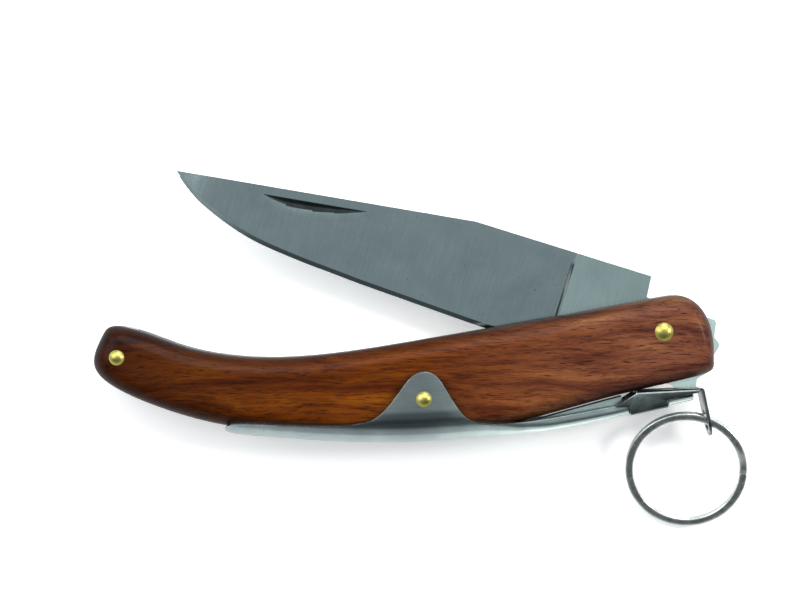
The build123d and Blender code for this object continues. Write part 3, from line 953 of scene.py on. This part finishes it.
def make_lever():
    """Folded sleeve round the spring tongue, with feet under it and a hanging tab."""
    bm = bmesh.new()
    cache = {}

    def v(p):
        key = tuple(round(c * 1e7) for c in p)
        if key not in cache:
            cache[key] = bm.verts.new(p)
        return cache[key]

    toe = (FOOT_TO, under_tongue(FOOT_TO, FOOT_GAP))
    heel = (FOOT_FROM, under_tongue(FOOT_FROM, FOOT_GAP))
    for side in (1, -1):
        z = side * FLAP_Z
        lower = rounded([(BEND_X, WEB_Y), (BEND_X, -12.6), (4.3, -13.0), (0.4, -13.8), toe], 0.3)
        upper = rounded([heel, (-7.5, -14.9), (-10.4, -14.8), (HEEL_X, WEB_Y)], 0.35)
        bm.faces.new([v(spot(a, b, z)) for a, b in lower + upper])
        inner = side * FOOT_INNER
        bm.faces.new([v(spot(*toe, z)), v(spot(*heel, z)),
                      v(spot(*heel, inner)), v(spot(*toe, inner))])
        bm.faces.new([v(spot(HEEL_X, WEB_Y, z)), v(spot(BEND_X, WEB_Y, z)),
                      v(spot(BEND_X, WEB_Y, side * TAB_HALF)), v(spot(BEND_X, WEB_Y, side * SLOT_HALF)),
                      v(spot(HEEL_X, WEB_Y, side * SLOT_HALF))])
        bm.faces.new([v(spot(BEND_X, WEB_Y, side * SLOT_HALF)), v(spot(BEND_X, WEB_Y, side * TAB_HALF)),
                      v(tab_point(0, side * TAB_HALF)), v(tab_point(0, side * SLOT_HALF))])
    bm.faces.new([v(spot(BEND_X, WEB_Y, SLOT_HALF)), v(tab_point(0, SLOT_HALF)),
                  v(tab_point(0, -SLOT_HALF)), v(spot(BEND_X, WEB_Y, -SLOT_HALF))])
    rim, ring = [], []
    for k in range(EYE_STEPS):
        a = 2 * math.pi * k / EYE_STEPS
        ring.append(v(tab_point(TAB_EYE + EYE_R * math.cos(a), EYE_R * math.sin(a))))
        if math.cos(a) >= -0.001:
            rim.append(v(tab_point(TAB_EYE + TAB_HALF * math.cos(a), TAB_HALF * math.sin(a))))
        else:
            t = -1 / max(abs(math.cos(a)), abs(math.sin(a)))
            drop, z = -math.cos(a) * t * TAB_HALF, -math.sin(a) * t * TAB_HALF
            rim.append(v(tab_point(TAB_EYE + drop, z)))
    for k in range(EYE_STEPS):
        j = (k + 1) % EYE_STEPS
        bm.faces.new([rim[k], rim[j], ring[j], ring[k]])
    top = [k for k in range(EYE_STEPS) if math.cos(2 * math.pi * k / EYE_STEPS) < -0.70]
    bm.faces.new([v(tab_point(0, TAB_HALF))] + [rim[k] for k in top]
                 + [v(tab_point(0, -TAB_HALF)), v(tab_point(0, -SLOT_HALF)), v(tab_point(0, SLOT_HALF))])
    obj = piece("pull_lever_folded", bm, LEVER_STEEL, weld=0.000005)
    broken_edges(obj, "folds", 0.0006, 4, 50)
    wall = obj.modifiers.new("sheet", "SOLIDIFY")
    wall.thickness = LEVER_T * MM
    wall.offset = 0.0
    broken_edges(obj, "soft_rims", 0.00013, 2, 60)
    settle(obj, 32)
    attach(obj, "pull_lever")
    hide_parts("pull_lever")
    return obj


make_lever()

# ---------------------------------------------------------------- split ring
RING_R = 11.65
WIRE_W = 1.7
WIRE_T = 0.78


def ring_section():
    """Flat wire drawn with a crown, so that its faces catch the light in bands."""
    points = []
    for k in range(16):
        a = 2 * math.pi * k / 16
        across = math.copysign(abs(math.cos(a)) ** 0.6, math.cos(a))
        rise = math.copysign(abs(math.sin(a)) ** 0.8, math.sin(a))
        points.append((WIRE_W / 2 * across, WIRE_T / 2 * rise))
    return points


def make_ring():
    """One flat wire wound twice, crossing over itself just before its first end."""
    lo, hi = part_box("split_ring")
    outward = RING_AXIS.cross(Vector((0, 0, 1))).normalized()
    if outward.y > 0:
        outward = -outward
    centre = Vector(((lo.x + hi.x) / 2, (lo.y + hi.y) / 2, (lo.z + hi.z) / 2))
    level = Vector((centre.x, centre.y, 0)) - Vector((EYE.x, EYE.y, 0))
    droop = math.atan2(EYE.z - centre.z, level.length)
    away = outward * math.cos(droop) + Vector((0, 0, -math.sin(droop)))
    up = RING_AXIS.cross(away).normalized()
    if up.z < 0:
        up = -up
    side = up.cross(away)
    centre = EYE + away * RING_R * MM
    cross = 0.55
    start = math.radians(142)
    total = 4 * math.pi - cross - 0.05
    steps = 250
    columns = []
    for k in range(steps + 1):
        a = total * k / steps
        lift = -WIRE_T / 2 + WIRE_T * eased((a - (2 * math.pi - cross)) / cross)
        heading = away * math.cos(start + a) + side * math.sin(start + a)
        fade = min(a, total - a) / 0.06
        thin = 0.72 + 0.28 * eased(fade)
        here = centre + heading * RING_R * MM + up * (lift + math.copysign(0.01, lift)) * MM
        columns.append([here + heading * p * thin * MM + up * q * thin * MM for p, q in ring_section()])
    bm = bmesh.new()
    made = grid(bm, columns, close_rows=True)
    bm.faces.new(made[0])
    bm.faces.new(list(reversed(made[-1])))
    obj = piece("split_ring_wire", bm, RING_NICKEL, weld=0)
    shade(obj.data, 60)
    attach(obj, "split_ring")
    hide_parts("split_ring")
    return obj


make_ring()

# ---------------------------------------------------------------- floor, light, camera
def make_floor():
    """Pale floor; a little glow of its own keeps the shadows faint."""
    bm = bmesh.new()
    r = 2.5
    corners = [(-r, -r), (r, -r), (r, r), (-r, r)]
    bm.faces.new([bm.verts.new((x, y, -0.00005)) for x, y in corners])
    m, tree, shader = new_material("pale_floor")
    coords = node(tree, "ShaderNodeTexCoord").outputs["Object"]
    soft = noise_at(tree, coords, (0, 0, 0), (3, 3, 3), 2.0, 0.5)
    tree.links.new(ramp(tree, soft, [(0.2, grey(0.93)), (0.8, grey(0.95))]), shader.inputs["Base Color"])
    shader.inputs["Roughness"].default_value = 0.9
    shader.inputs["Emission Color"].default_value = (1.0, 1.0, 1.0, 1.0)
    shader.inputs["Emission Strength"].default_value = 0.32
    obj = piece("floor", bm, m)


def make_world():
    """Soft room: grey ceiling, a pale window side and a dim side across from it."""
    scene = bpy.context.scene
    scene.view_settings.view_transform = "Standard"
    world = bpy.data.worlds.new("studio")
    scene.world = world
    world.use_nodes = True
    tree = world.node_tree
    coords = node(tree, "ShaderNodeTexCoord").outputs["Generated"]
    split = node(tree, "ShaderNodeSeparateXYZ", {0: coords})
    dim = ramp(tree, split.outputs["Z"], [
        (0.0, (0.96, 0.97, 0.98)), (0.46, (0.70, 0.73, 0.75)), (0.62, (0.11, 0.12, 0.13)),
        (0.92, (0.13, 0.14, 0.15)), (0.985, (0.52, 0.55, 0.57)), (1.0, (0.62, 0.65, 0.67))])
    pale = ramp(tree, split.outputs["Z"], [
        (0.0, (0.98, 0.99, 1.0)), (0.40, (0.95, 0.96, 0.97)), (0.80, (0.72, 0.74, 0.76)),
        (1.0, (0.62, 0.65, 0.67))])
    side = between(tree, split.outputs["Y"], -0.30, 0.35)
    tone = mixed(tree, side, dim, pale)
    back = tree.nodes["Background"]
    tree.links.new(tone, back.inputs[0])
    back.inputs[1].default_value = 1.0


def area(name, at, toward, size, power, colour=(1, 1, 1)):
    light = bpy.data.lights.new(name, "AREA")
    light.shape = "DISK"
    light.size = size
    light.energy = power
    light.color = colour
    obj = bpy.data.objects.new(name, light)
    bpy.context.scene.collection.objects.link(obj)
    obj.location = at
    obj.rotation_euler = (Vector(toward) - Vector(at)).to_track_quat("-Z", "Y").to_euler()
    return obj


def make_camera():
    cam = bpy.data.cameras.new("camera")
    cam.sensor_width = 36.0
    cam.lens = 88.2
    obj = bpy.data.objects.new("camera", cam)
    bpy.context.scene.collection.objects.link(obj)
    obj.location = PIVOT + Vector((-0.05265, 0.0089, 0.4))
    obj.rotation_euler = (0, 0, math.radians(-2.7065))
    bpy.context.scene.camera = obj


make_floor()
make_world()
area("window", (0.30, 1.0, 1.0), (0, 0, 0), 1.2, 15.0, (0.97, 0.99, 1.0))
area("bench_lamp", (0.75, 0.15, 0.62), (0, 0, 0), 0.20, 3.5, (1.0, 0.98, 0.95))
area("fill", (-0.9, 0.6, 1.1), (0, 0, 0), 1.4, 13.0)
make_camera()
